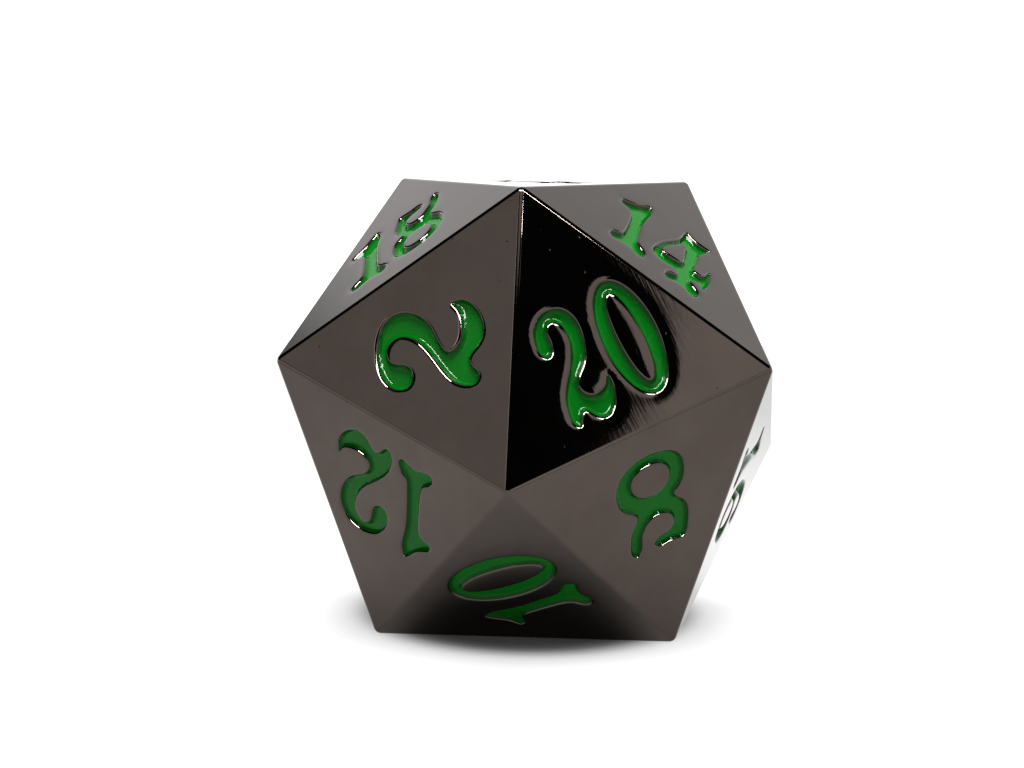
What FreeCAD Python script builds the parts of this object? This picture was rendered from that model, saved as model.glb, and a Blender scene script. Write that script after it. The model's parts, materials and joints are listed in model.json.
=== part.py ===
import FreeCAD, Part
import os
from math import cos, pi, radians, sin, sqrt

# A twenty-sided die: a plated zinc casting with a number sunk in every face, and green enamel
# lying in each number. Millimetres, +Z up. The die rests on its 17, with that face's middle at
# the origin. The 20 faces -Y, a little toward +X.

os.makedirs("parts", exist_ok=True)

# ---- driving dimensions ----
FACE_TO_FACE = 20.0      # across two opposite faces, so the height as the die rests
EDGE_ROUND = 0.30        # radius along every edge and over every corner
RECESS_DEPTH = 0.50      # how deep the numbers are sunk below their faces
ENAMEL_LOW = 0.13        # how far the enamel lies below the face
DIGIT_GAP = 0.22         # space between the two digits of one number
ALONE_WIDER = 1.26       # a digit alone on its face is cut this much wider
DOT_RADIUS = 0.30        # the mark that tells 6 from 9
DOT_X, DOT_Y = 2.25, -2.05

# ---- what follows from them ----
GOLD = (1 + sqrt(5)) / 2
EDGE = FACE_TO_FACE * sqrt(3) / GOLD ** 2
TOP_RING = EDGE / sqrt(3)
BELT_RING = TOP_RING * GOLD
TOP_HEIGHT = FACE_TO_FACE / 2
BELT_HEIGHT = TOP_HEIGHT / GOLD ** 3
MIDDLE = FreeCAD.Vector(0, 0, FACE_TO_FACE / 2)


def ring_point(radius, turn, height):
    """A corner: turn is counted from -Y toward +X, in degrees."""
    a = radians(turn)
    return FreeCAD.Vector(radius * sin(a), -radius * cos(a), height)


# Corners, measured from the die's middle. Each one's opposite is across the middle.
OPPOSITE = {"A": "H", "B": "N", "C": "G", "D": "M", "E": "L", "K": "F"}
CORNER = {
    "B": ring_point(TOP_RING, 0, TOP_HEIGHT),
    "C": ring_point(TOP_RING, 120, TOP_HEIGHT),
    "A": ring_point(TOP_RING, 240, TOP_HEIGHT),
    "E": ring_point(BELT_RING, 60, BELT_HEIGHT),
    "K": ring_point(BELT_RING, 180, BELT_HEIGHT),
    "D": ring_point(BELT_RING, 300, BELT_HEIGHT),
}
for near, far in OPPOSITE.items():
    CORNER[far] = CORNER[near] * -1
OPPOSITE.update({far: near for near, far in list(OPPOSITE.items())})

# Ten faces by number: the corner its top points at, then its other two corners.
# The other ten follow: opposite faces add up to 21 and their tops point opposite ways.
FACES = {20: "BFE", 14: "CBE", 18: "ADB", 2: "DFB", 12: "GFD",
         8: "HEF", 10: "GHF", 16: "MEH", 4: "ABC", 6: "MCE"}
for shown in list(FACES):
    FACES[21 - shown] = "".join(OPPOSITE[c] for c in FACES[shown])

# ---- the lettering ----
# Each digit: points its outline passes through, x from its left side and y from the middle of
# its height. The first list is the outside, a second one the island standing inside it.
OVAL = "oval"
DIGITS = {
    "0": (2.80, [(OVAL, 1.40, 0.00, 1.40, 2.62), (OVAL, 1.40, 0.00, 0.56, 2.00)]),
    "1": (2.10, [[
        (0.00, 1.42), (0.08, 1.14), (0.36, 1.10), (0.62, 0.90), (0.72, 0.40), (0.72, -1.10),
        (0.58, -1.60), (0.28, -1.84), (0.10, -2.16), (0.26, -2.44), (0.62, -2.42), (1.08, -2.28),
        (1.54, -2.40), (1.90, -2.46), (2.10, -2.14), (1.96, -1.76), (1.66, -1.50), (1.54, -1.00),
        (1.54, 1.40), (1.60, 2.20), (1.44, 2.52), (1.10, 2.34), (0.76, 1.96), (0.30, 1.66)]]),
    "2": (3.05, [[
        (0.44, 0.84), (0.10, 1.06), (0.04, 1.56), (0.34, 2.22), (0.92, 2.62), (1.58, 2.74),
        (2.22, 2.60), (2.66, 2.18), (2.80, 1.52), (2.62, 0.74), (2.14, 0.08), (1.50, -0.40),
        (1.28, -0.76), (1.44, -1.10), (1.86, -1.28), (2.34, -1.22), (2.72, -1.00), (2.94, -0.80),
        (3.05, -1.04), (2.98, -1.54), (2.60, -2.06), (2.04, -2.38), (1.40, -2.20), (0.92, -1.80),
        (0.66, -2.00), (0.36, -2.30), (0.06, -2.14), (0.00, -1.66), (0.18, -1.06), (0.66, -0.42),
        (1.24, 0.18), (1.72, 0.86), (1.88, 1.54), (1.70, 2.02), (1.36, 2.16), (1.08, 1.98),
        (0.98, 1.52), (0.86, 1.08)]]),
    "3": (2.80, [[
        (0.44, 0.94), (0.12, 1.16), (0.06, 1.68), (0.40, 2.26), (0.98, 2.60), (1.60, 2.62),
        (2.18, 2.34), (2.50, 1.76), (2.46, 1.14), (2.16, 0.64), (2.02, 0.34), (2.34, 0.04),
        (2.68, -0.46), (2.80, -1.10), (2.58, -1.78), (2.08, -2.28), (1.40, -2.48), (0.74, -2.36),
        (0.22, -2.00), (0.00, -1.50), (0.12, -1.08), (0.48, -0.94), (0.80, -1.16), (0.94, -1.56),
        (1.20, -1.86), (1.54, -1.88), (1.84, -1.60), (1.94, -1.12), (1.80, -0.60), (1.46, -0.24),
        (1.08, -0.04), (0.94, 0.24), (1.14, 0.50), (1.46, 0.72), (1.66, 1.10), (1.66, 1.62),
        (1.46, 1.98), (1.16, 2.04), (0.96, 1.78), (0.92, 1.38), (0.78, 1.04)]]),
    "4": (3.00, [[
        (1.22, 2.70), (1.04, 2.10), (0.74, 1.20), (0.34, 0.42), (0.06, -0.30), (0.00, -0.94),
        (0.22, -1.26), (0.80, -1.30), (1.34, -1.26), (1.44, -1.56), (1.10, -1.84), (0.90, -2.22),
        (1.04, -2.52), (1.38, -2.42), (1.78, -2.28), (2.18, -2.42), (2.54, -2.52), (2.74, -2.18),
        (2.60, -1.76), (2.26, -1.44), (2.28, -1.14), (2.54, -1.10), (2.78, -1.32), (2.96, -0.96),
        (2.98, 0.10), (2.86, 0.46), (2.72, 0.12), (2.54, -0.18), (2.26, -0.26), (2.18, 0.24),
        (2.20, 1.30), (2.36, 2.04), (2.52, 2.48), (2.20, 2.52), (1.72, 2.52)], [
        (1.34, 1.46), (1.44, 0.70), (1.42, -0.26), (0.96, -0.42), (0.50, -0.38), (0.56, 0.22),
        (0.94, 0.92)]]),
    "5": (2.80, [[
        (0.38, 2.46), (0.84, 2.32), (1.52, 2.28), (2.14, 2.42), (2.46, 2.56), (2.62, 2.26),
        (2.52, 1.82), (2.20, 1.56), (1.62, 1.46), (1.12, 1.42), (0.96, 1.10), (1.10, 0.80),
        (1.52, 0.80), (2.08, 0.60), (2.58, 0.06), (2.80, -0.70), (2.64, -1.54), (2.14, -2.20),
        (1.42, -2.48), (0.70, -2.36), (0.20, -1.98), (0.00, -1.48), (0.14, -1.08), (0.50, -0.96),
        (0.82, -1.20), (0.96, -1.58), (1.24, -1.88), (1.60, -1.80), (1.88, -1.36), (1.96, -0.72),
        (1.80, -0.12), (1.42, 0.14), (1.02, 0.02), (0.64, -0.22), (0.34, -0.06), (0.26, 0.44),
        (0.32, 1.30), (0.20, 2.04)]]),
    "6": (2.80, [[
        (2.50, 1.20), (2.63, 1.62), (2.50, 2.06), (2.12, 2.40), (1.56, 2.54), (0.90, 2.24),
        (0.40, 1.54), (0.08, 0.54), (0.00, -0.46), (0.18, -1.46), (0.68, -2.20), (1.44, -2.46),
        (2.20, -2.20), (2.70, -1.50), (2.80, -0.60), (2.52, 0.16), (2.00, 0.58), (1.44, 0.54),
        (1.06, 0.36), (0.96, 0.72), (1.06, 1.24), (1.36, 1.72), (1.70, 1.88), (1.94, 1.62),
        (2.06, 1.24), (2.28, 1.08)], [
        (0.82, -0.70), (1.04, -0.16), (1.48, -0.04), (1.88, -0.40), (2.00, -1.06), (1.80, -1.68),
        (1.42, -1.94), (1.02, -1.72), (0.82, -1.24)]]),
    "7": (2.80, [[
        (0.26, 2.58), (0.68, 2.42), (1.32, 2.36), (2.00, 2.46), (2.50, 2.58), (2.80, 2.34),
        (2.70, 1.80), (2.34, 0.90), (1.96, -0.10), (1.78, -1.10), (1.80, -1.90), (1.64, -2.38),
        (1.24, -2.50), (0.86, -2.28), (0.76, -1.80), (0.90, -1.00), (1.22, -0.10), (1.56, 0.74),
        (1.70, 1.32), (1.44, 1.58), (0.98, 1.60), (0.64, 1.40), (0.44, 1.06), (0.18, 0.98),
        (0.00, 1.30), (0.04, 1.98)]]),
    "8": (2.85, [[
        (0.36, 2.38), (0.18, 1.86), (0.10, 1.20), (0.26, 0.48), (0.54, 0.04), (0.24, -0.32),
        (0.04, -0.98), (0.08, -1.62), (0.42, -2.18), (0.98, -2.44), (1.60, -2.46), (2.26, -2.18),
        (2.70, -1.60), (2.80, -0.86), (2.56, -0.12), (2.12, 0.46), (2.36, 0.94), (2.52, 1.62),
        (2.52, 2.18), (2.32, 2.40), (2.10, 2.18), (2.02, 1.66), (1.78, 1.08), (1.44, 0.76),
        (1.08, 0.78), (0.80, 1.06), (0.78, 1.50), (1.04, 1.74), (1.44, 1.84), (1.62, 2.10),
        (1.42, 2.36), (0.96, 2.34)],
        (OVAL, 1.40, -1.16, 0.74, 0.76)]),
}
DIGITS["9"] = (2.80, [[(2.80 - x, -y) for x, y in loop] for loop in DIGITS["6"][1]])

# Where a number's digits were set by hand: middle x, lift in y and width of each.
SET_BY_HAND = {
    20: ((-1.44, -0.32, 2.44), (1.41, -0.03, 2.62)),
    12: ((-1.68, 0.00, 2.10), (1.25, -0.22, 3.14)),
    14: ((-1.46, 0.08, 1.98), (1.17, 0.00, 2.94)),
    18: ((-1.65, 0.20, 2.06), (1.05, 0.22, 2.82)),
    10: ((-1.40, -0.02, 1.98), (1.22, 0.06, 3.06)),
}


def digit_places(number):
    """The digits of a number and, for each, its middle x, lift and width."""
    digits = str(number)
    if number in SET_BY_HAND:
        return list(zip(digits, SET_BY_HAND[number]))
    widen = ALONE_WIDER if len(digits) == 1 else 1.0
    widths = [DIGITS[d][0] * widen for d in digits]
    x = -(sum(widths) + DIGIT_GAP * (len(digits) - 1)) / 2
    places = []
    for d, width in zip(digits, widths):
        places.append((d, (x + width / 2, 0.0, width)))
        x += width + DIGIT_GAP
    return places


def face_placement(number):
    """Puts flat lettering on its face: x to the reader's right, y up, z outward."""
    up, p, q = [CORNER[c] for c in FACES[number]]
    middle = (up + p + q) * (1 / 3)
    out = FreeCAD.Vector(middle).normalize()
    y = (up - middle).normalize()
    x = y.cross(out)
    turn = FreeCAD.Matrix(x.x, y.x, out.x, 0, x.y, y.y, out.y, 0, x.z, y.z, out.z, 0, 0, 0, 0, 1)
    spot = FreeCAD.Placement(turn)
    spot.Base = middle + MIDDLE
    return spot


def outline_wire(loop, dx, dy, stretch, z):
    """One closed smooth outline, as a single curve."""
    if loop[0] == OVAL:
        count = 24
        _, cx, cy, rx, ry = loop
        turns = [2 * pi * k / count for k in range(count)]
        loop = [(cx + rx * cos(t), cy + ry * sin(t)) for t in turns]
    points = [FreeCAD.Vector(dx + x * stretch, dy + y, z) for x, y in loop]
    curve = Part.BSplineCurve()
    curve.interpolate(Points=points, PeriodicFlag=True)
    return Part.Wire([curve.toShape()])


def digit_prism(digit, place, bottom, top):
    """A digit's filled outline between two depths below the face."""
    width, loops = DIGITS[digit]
    mid_x, lift, wanted = place
    stretch = wanted / width
    prisms = []
    for loop in loops:
        wire = outline_wire(loop, mid_x - wanted / 2, lift, stretch, bottom)
        prisms.append(Part.Face(wire).extrude(FreeCAD.Vector(0, 0, top - bottom)))
    solid = prisms[0]
    for island in prisms[1:]:
        solid = solid.cut(island)
    return solid.Solids[0]


def number_solids(number, bottom, top):
    """Every solid of a number, laid on its face, between two depths below it."""
    solids = [digit_prism(d, place, bottom, top) for d, place in digit_places(number)]
    if number in (6, 9):
        foot = FreeCAD.Vector(DOT_X, DOT_Y, bottom)
        solids.append(Part.makeCylinder(DOT_RADIUS, top - bottom, foot))
    spot = face_placement(number)
    for solid in solids:
        solid.Placement = spot.multiply(solid.Placement)
    return solids


def blank():
    """The rounded twenty-sided blank: a smaller one, grown by the edge radius."""
    shrink = 1 - 2 * EDGE_ROUND / FACE_TO_FACE
    point = {name: place * shrink + MIDDLE for name, place in CORNER.items()}
    faces = []
    for corners in FACES.values():
        a, b, c = [point[name] for name in corners]
        faces.append(Part.Face(Part.makePolygon([a, b, c, a])))
    core = Part.Solid(Part.makeShell(faces))
    if core.Volume < 0:
        core.reverse()
    return core.makeOffsetShape(EDGE_ROUND, 1e-4, fill=False, join=0)


def die_body():
    """The casting: the blank with every number sunk into it."""
    body = blank()
    if body.ShapeType != "Solid":
        body = Part.Solid(body.Shells[0])
    for number in sorted(FACES):
        for cutter in number_solids(number, -RECESS_DEPTH, 0.4):
            body = body.cut(cutter)
    return body.Solids[0]


def numeral(number):
    """The enamel of one number, from the floor of its recess to just under the face."""
    return Part.makeCompound(number_solids(number, -RECESS_DEPTH, -ENAMEL_LOW))


shapes = {"die_body": die_body()}
for number in sorted(FACES):
    shapes["numeral_%d" % number] = numeral(number)

for name, shape in shapes.items():
    shape.exportStep("parts/%s.step" % name)
    box = shape.BoundBox
    print(name, shape.ShapeType, "solids", len(shape.Solids), "volume %.3f" % shape.Volume,
          "valid", shape.isValid(), "z %.3f to %.3f" % (box.ZMin, box.ZMax))
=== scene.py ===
# %% [markdown]
# # A plated metal twenty-sided die
# The die is one zinc casting with a number sunk in each of its twenty faces. It is plated in
# black nickel, polished, and the numbers are filled with green enamel that shrinks a little as
# it cures and creeps up the walls around it. Two kinds of piece are made here: the plated body,
# and the enamel of each number.

# %% Load the fixed frame
import json
from math import acos, atan, cos, pi, radians, sin, sqrt, tan

import bmesh
import bpy
import numpy as np
from mathutils import Matrix, Vector
from mathutils.geometry import delaunay_2d_cdt

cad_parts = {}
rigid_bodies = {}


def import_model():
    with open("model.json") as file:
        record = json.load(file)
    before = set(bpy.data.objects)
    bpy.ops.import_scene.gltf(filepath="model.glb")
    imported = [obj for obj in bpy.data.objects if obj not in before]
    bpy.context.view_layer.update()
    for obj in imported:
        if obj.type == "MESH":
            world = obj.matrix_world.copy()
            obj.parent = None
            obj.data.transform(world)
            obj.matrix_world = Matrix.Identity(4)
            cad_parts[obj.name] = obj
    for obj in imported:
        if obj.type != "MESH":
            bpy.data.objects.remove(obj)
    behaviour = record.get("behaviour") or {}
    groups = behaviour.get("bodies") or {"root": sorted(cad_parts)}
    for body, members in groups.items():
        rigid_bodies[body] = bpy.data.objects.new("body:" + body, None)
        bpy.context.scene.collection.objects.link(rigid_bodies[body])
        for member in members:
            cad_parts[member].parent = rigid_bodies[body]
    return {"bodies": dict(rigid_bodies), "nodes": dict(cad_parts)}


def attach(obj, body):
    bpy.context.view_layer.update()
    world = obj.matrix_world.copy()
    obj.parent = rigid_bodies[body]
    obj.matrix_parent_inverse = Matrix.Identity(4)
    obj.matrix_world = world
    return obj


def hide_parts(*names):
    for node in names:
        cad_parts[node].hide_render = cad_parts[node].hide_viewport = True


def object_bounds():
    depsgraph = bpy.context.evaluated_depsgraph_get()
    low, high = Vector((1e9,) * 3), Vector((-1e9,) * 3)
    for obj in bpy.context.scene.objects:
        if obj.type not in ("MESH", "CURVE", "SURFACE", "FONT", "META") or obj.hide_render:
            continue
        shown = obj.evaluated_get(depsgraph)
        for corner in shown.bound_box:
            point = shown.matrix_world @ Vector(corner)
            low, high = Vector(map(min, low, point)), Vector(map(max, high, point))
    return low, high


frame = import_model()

framed = set(frame["nodes"].values()) | set(frame["bodies"].values())
for left_over in set(bpy.data.objects) - framed:
    bpy.data.objects.remove(left_over)
cad_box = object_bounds()

MM = 0.001
scene = bpy.context.scene

# %% [markdown]
# ## The die's own geometry
# A twenty-sided die is a regular icosahedron. Its corners lie on four level rings: a small ring
# of three at the top, two staggered belts of three, and a small ring at the bottom. Every
# length follows from the height over two opposite faces and from the golden ratio, so the
# corners could be typed in, but it is safer to work them out. Each face carries a frame of its
# own, with x to the reader's right, y toward the top of the number, and z outward, because
# all the lettering is drawn flat first and then laid on its face.

# %% Corners, faces and which number is where
FACE_TO_FACE = (cad_box[1].z - cad_box[0].z) / MM
GOLD = (1 + sqrt(5)) / 2
EDGE = FACE_TO_FACE * sqrt(3) / GOLD ** 2
TOP_RING = EDGE / sqrt(3)
TOP_HEIGHT = FACE_TO_FACE / 2
MIDDLE = np.array((0, 0, FACE_TO_FACE / 2))


def ring_point(radius, turn, height):
    a = radians(turn)
    return np.array((radius * sin(a), -radius * cos(a), height))


BELT_RING, BELT_HEIGHT = TOP_RING * GOLD, TOP_HEIGHT / GOLD ** 3
CORNER = {name: ring_point(TOP_RING, turn, TOP_HEIGHT)
          for name, turn in (("B", 0), ("C", 120), ("A", 240))}
CORNER.update({name: ring_point(BELT_RING, turn, BELT_HEIGHT)
               for name, turn in (("E", 60), ("K", 180), ("D", 300))})
OPPOSITE = {"A": "H", "B": "N", "C": "G", "D": "M", "E": "L", "K": "F"}
for near, far in OPPOSITE.items():
    CORNER[far] = -CORNER[near]
OPPOSITE.update({far: near for near, far in list(OPPOSITE.items())})

# The corner a number's top points at comes first. Opposite faces add up to 21.
FACES = {20: "BFE", 14: "CBE", 18: "ADB", 2: "DFB", 12: "GFD",
         8: "HEF", 10: "GHF", 16: "MEH", 4: "ABC", 6: "MCE"}
for shown in list(FACES):
    FACES[21 - shown] = "".join(OPPOSITE[c] for c in FACES[shown])


class FaceFrame:
    """Lays flat drawings, in millimetres, on one face of the die."""

    def __init__(self, number):
        up, p, q = (CORNER[c] for c in FACES[number])
        self.middle = (up + p + q) / 3
        self.out = self.middle / np.linalg.norm(self.middle)
        self.y = (up - self.middle) / np.linalg.norm(up - self.middle)
        self.x = np.cross(self.y, self.out)

    def place(self, flat, height=0.0):
        flat = np.asarray(flat, float)
        raised = self.middle + MIDDLE + self.out * height
        return raised + flat[:, :1] * self.x + flat[:, 1:2] * self.y

    def direction(self, flat):
        flat = np.asarray(flat, float)
        return flat[:, :1] * self.x + flat[:, 1:2] * self.y

    def flatten(self, points):
        away = np.asarray(points, float) - self.middle - MIDDLE
        return np.stack([away @ self.x, away @ self.y], axis=1)


FRAME_OF = {number: FaceFrame(number) for number in FACES}
print("edge %.3f mm, %d faces" % (EDGE, len(FRAME_OF)))

# %% [markdown]
# ## The lettering
# The numbers are in one old-style face with swelling strokes and drop-shaped ends. On the real
# die an engraver cut them into the mould. A ready-made font would not have these shapes, so each
# digit is a short list of points that its outline passes through, joined by the smoothest closed
# curve through them. That is a periodic cubic spline, and it is found by solving for the slope
# at every point at once. A second list, or an oval, is an island standing inside the digit.

# %% The digits
OVAL = "oval"
DIGITS = {
    "0": (2.80, [(OVAL, 1.40, 0.00, 1.40, 2.62), (OVAL, 1.40, 0.00, 0.56, 2.00)]),
    "1": (2.10, [[
        (0.00, 1.42), (0.08, 1.14), (0.36, 1.10), (0.62, 0.90), (0.72, 0.40), (0.72, -1.10),
        (0.58, -1.60), (0.28, -1.84), (0.10, -2.16), (0.26, -2.44), (0.62, -2.42), (1.08, -2.28),
        (1.54, -2.40), (1.90, -2.46), (2.10, -2.14), (1.96, -1.76), (1.66, -1.50), (1.54, -1.00),
        (1.54, 1.40), (1.60, 2.20), (1.44, 2.52), (1.10, 2.34), (0.76, 1.96), (0.30, 1.66)]]),
    "2": (3.05, [[
        (0.44, 0.84), (0.10, 1.06), (0.04, 1.56), (0.34, 2.22), (0.92, 2.62), (1.58, 2.74),
        (2.22, 2.60), (2.66, 2.18), (2.80, 1.52), (2.62, 0.74), (2.14, 0.08), (1.50, -0.40),
        (1.28, -0.76), (1.44, -1.10), (1.86, -1.28), (2.34, -1.22), (2.72, -1.00), (2.94, -0.80),
        (3.05, -1.04), (2.98, -1.54), (2.60, -2.06), (2.04, -2.38), (1.40, -2.20), (0.92, -1.80),
        (0.66, -2.00), (0.36, -2.30), (0.06, -2.14), (0.00, -1.66), (0.18, -1.06), (0.66, -0.42),
        (1.24, 0.18), (1.72, 0.86), (1.88, 1.54), (1.70, 2.02), (1.36, 2.16), (1.08, 1.98),
        (0.98, 1.52), (0.86, 1.08)]]),
    "3": (2.80, [[
        (0.44, 0.94), (0.12, 1.16), (0.06, 1.68), (0.40, 2.26), (0.98, 2.60), (1.60, 2.62),
        (2.18, 2.34), (2.50, 1.76), (2.46, 1.14), (2.16, 0.64), (2.02, 0.34), (2.34, 0.04),
        (2.68, -0.46), (2.80, -1.10), (2.58, -1.78), (2.08, -2.28), (1.40, -2.48), (0.74, -2.36),
        (0.22, -2.00), (0.00, -1.50), (0.12, -1.08), (0.48, -0.94), (0.80, -1.16), (0.94, -1.56),
        (1.20, -1.86), (1.54, -1.88), (1.84, -1.60), (1.94, -1.12), (1.80, -0.60), (1.46, -0.24),
        (1.08, -0.04), (0.94, 0.24), (1.14, 0.50), (1.46, 0.72), (1.66, 1.10), (1.66, 1.62),
        (1.46, 1.98), (1.16, 2.04), (0.96, 1.78), (0.92, 1.38), (0.78, 1.04)]]),
    "4": (3.00, [[
        (1.22, 2.70), (1.04, 2.10), (0.74, 1.20), (0.34, 0.42), (0.06, -0.30), (0.00, -0.94),
        (0.22, -1.26), (0.80, -1.30), (1.34, -1.26), (1.44, -1.56), (1.10, -1.84), (0.90, -2.22),
        (1.04, -2.52), (1.38, -2.42), (1.78, -2.28), (2.18, -2.42), (2.54, -2.52), (2.74, -2.18),
        (2.60, -1.76), (2.26, -1.44), (2.28, -1.14), (2.54, -1.10), (2.78, -1.32), (2.96, -0.96),
        (2.98, 0.10), (2.86, 0.46), (2.72, 0.12), (2.54, -0.18), (2.26, -0.26), (2.18, 0.24),
        (2.20, 1.30), (2.36, 2.04), (2.52, 2.48), (2.20, 2.52), (1.72, 2.52)], [
        (1.34, 1.46), (1.44, 0.70), (1.42, -0.26), (0.96, -0.42), (0.50, -0.38), (0.56, 0.22),
        (0.94, 0.92)]]),
    "5": (2.80, [[
        (0.38, 2.46), (0.84, 2.32), (1.52, 2.28), (2.14, 2.42), (2.46, 2.56), (2.62, 2.26),
        (2.52, 1.82), (2.20, 1.56), (1.62, 1.46), (1.12, 1.42), (0.96, 1.10), (1.10, 0.80),
        (1.52, 0.80), (2.08, 0.60), (2.58, 0.06), (2.80, -0.70), (2.64, -1.54), (2.14, -2.20),
        (1.42, -2.48), (0.70, -2.36), (0.20, -1.98), (0.00, -1.48), (0.14, -1.08), (0.50, -0.96),
        (0.82, -1.20), (0.96, -1.58), (1.24, -1.88), (1.60, -1.80), (1.88, -1.36), (1.96, -0.72),
        (1.80, -0.12), (1.42, 0.14), (1.02, 0.02), (0.64, -0.22), (0.34, -0.06), (0.26, 0.44),
        (0.32, 1.30), (0.20, 2.04)]]),
    "6": (2.80, [[
        (2.50, 1.20), (2.63, 1.62), (2.50, 2.06), (2.12, 2.40), (1.56, 2.54), (0.90, 2.24),
        (0.40, 1.54), (0.08, 0.54), (0.00, -0.46), (0.18, -1.46), (0.68, -2.20), (1.44, -2.46),
        (2.20, -2.20), (2.70, -1.50), (2.80, -0.60), (2.52, 0.16), (2.00, 0.58), (1.44, 0.54),
        (1.06, 0.36), (0.96, 0.72), (1.06, 1.24), (1.36, 1.72), (1.70, 1.88), (1.94, 1.62),
        (2.06, 1.24), (2.28, 1.08)], [
        (0.82, -0.70), (1.04, -0.16), (1.48, -0.04), (1.88, -0.40), (2.00, -1.06), (1.80, -1.68),
        (1.42, -1.94), (1.02, -1.72), (0.82, -1.24)]]),
    "7": (2.80, [[
        (0.26, 2.58), (0.68, 2.42), (1.32, 2.36), (2.00, 2.46), (2.50, 2.58), (2.80, 2.34),
        (2.70, 1.80), (2.34, 0.90), (1.96, -0.10), (1.78, -1.10), (1.80, -1.90), (1.64, -2.38),
        (1.24, -2.50), (0.86, -2.28), (0.76, -1.80), (0.90, -1.00), (1.22, -0.10), (1.56, 0.74),
        (1.70, 1.32), (1.44, 1.58), (0.98, 1.60), (0.64, 1.40), (0.44, 1.06), (0.18, 0.98),
        (0.00, 1.30), (0.04, 1.98)]]),
    "8": (2.85, [[
        (0.36, 2.38), (0.18, 1.86), (0.10, 1.20), (0.26, 0.48), (0.54, 0.04), (0.24, -0.32),
        (0.04, -0.98), (0.08, -1.62), (0.42, -2.18), (0.98, -2.44), (1.60, -2.46), (2.26, -2.18),
        (2.70, -1.60), (2.80, -0.86), (2.56, -0.12), (2.12, 0.46), (2.36, 0.94), (2.52, 1.62),
        (2.52, 2.18), (2.32, 2.40), (2.10, 2.18), (2.02, 1.66), (1.78, 1.08), (1.44, 0.76),
        (1.08, 0.78), (0.80, 1.06), (0.78, 1.50), (1.04, 1.74), (1.44, 1.84), (1.62, 2.10),
        (1.42, 2.36), (0.96, 2.34)],
        (OVAL, 1.40, -1.16, 0.74, 0.76)]),
}
DIGITS["9"] = (2.80, [[(2.80 - x, -y) for x, y in loop] for loop in DIGITS["6"][1]])

# Where a number's digits were set one by one: middle x, lift in y and width of each.
SET_BY_HAND = {
    20: ((-1.44, -0.32, 2.44), (1.41, -0.03, 2.62)),
    12: ((-1.68, 0.00, 2.10), (1.25, -0.22, 3.14)),
    14: ((-1.46, 0.08, 1.98), (1.17, 0.00, 2.94)),
    18: ((-1.65, 0.20, 2.06), (1.05, 0.22, 2.82)),
    10: ((-1.40, -0.02, 1.98), (1.22, 0.06, 3.06)),
}
DIGIT_GAP = 0.22
ALONE_WIDER = 1.26
DOT_RADIUS, DOT_X, DOT_Y = 0.30, 2.25, -2.05
ROUND_POINTS = 24


def digit_places(number):
    digits = str(number)
    if number in SET_BY_HAND:
        return list(zip(digits, SET_BY_HAND[number]))
    widen = ALONE_WIDER if len(digits) == 1 else 1.0
    widths = [DIGITS[d][0] * widen for d in digits]
    x = -(sum(widths) + DIGIT_GAP * (len(digits) - 1)) / 2
    places = []
    for d, width in zip(digits, widths):
        places.append((d, (x + width / 2, 0.0, width)))
        x += width + DIGIT_GAP
    return places


# %% The smoothest closed curve through a digit's points
def spline_loop(points, per_span=40):
    p = np.array(points, float)
    count = len(p)
    chord = np.roll(p, -1, 0) - p
    length = np.linalg.norm(chord, axis=1)
    slope = chord / length[:, None]
    before = np.roll(length, 1)
    rows = np.arange(count)
    matrix = np.zeros((count, count))
    matrix[rows, rows - 1] = length
    matrix[rows, rows] = 2 * (before + length)
    matrix[rows, (rows + 1) % count] = before
    known = 3 * (length[:, None] * np.roll(slope, 1, 0) + before[:, None] * slope)
    tangent = np.linalg.solve(matrix, known)
    t = (np.arange(per_span) / per_span)[None, :, None]
    a, b = p[:, None], np.roll(p, -1, 0)[:, None]
    reach = length[:, None, None]
    ta, tb = tangent[:, None] * reach, np.roll(tangent, -1, 0)[:, None] * reach
    curve = ((2 * t ** 3 - 3 * t ** 2 + 1) * a + (t ** 3 - 2 * t ** 2 + t) * ta
             + (3 * t ** 2 - 2 * t ** 3) * b + (t ** 3 - t ** 2) * tb)
    return curve.reshape(-1, 2)


def signed_area(loop):
    x, y = loop.T
    return 0.5 * np.sum(x * np.roll(y, -1) - np.roll(x, -1) * y)


# %% [markdown]
# The walls follow these outlines, so the points along them decide how smooth the walls look.
# Even spacing would waste points on the straights and leave the drop ends faceted. Here the
# spacing is a fixed share of the bend's radius, between a least and a greatest step.

# %% Points along an outline, closer where it bends
STEP_LEAST, STEP_MOST, STEP_OF_RADIUS = 0.032, 0.15, 0.26
EVENED_OVER = 25            # points to each side that a step is evened out over


def spaced_along(loop):
    ahead, behind = np.roll(loop, -1, 0) - loop, loop - np.roll(loop, 1, 0)
    step = np.linalg.norm(ahead, axis=1)
    turn = np.abs(np.arctan2(behind[:, 0] * ahead[:, 1] - behind[:, 1] * ahead[:, 0],
                             np.sum(ahead * behind, axis=1)))
    wanted = np.clip(STEP_OF_RADIUS * step / np.maximum(turn, 1e-6), STEP_LEAST, STEP_MOST)
    window = 2 * EVENED_OVER + 1

    def wrapped(values):
        return np.concatenate([values[-EVENED_OVER:], values, values[:EVENED_OVER]])

    ring = wrapped(wanted)
    wanted = np.array([ring[i:i + window].min() for i in range(len(wanted))])
    wanted = np.convolve(wrapped(wanted), np.ones(window) / window, "valid")
    along = np.concatenate([[0], np.cumsum(step / wanted)])
    count = int(round(along[-1]))
    marks = np.arange(count) * along[-1] / count
    closed = np.vstack([loop, loop[:1]])
    return np.stack([np.interp(marks, along, closed[:, k]) for k in (0, 1)], axis=1)


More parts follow.
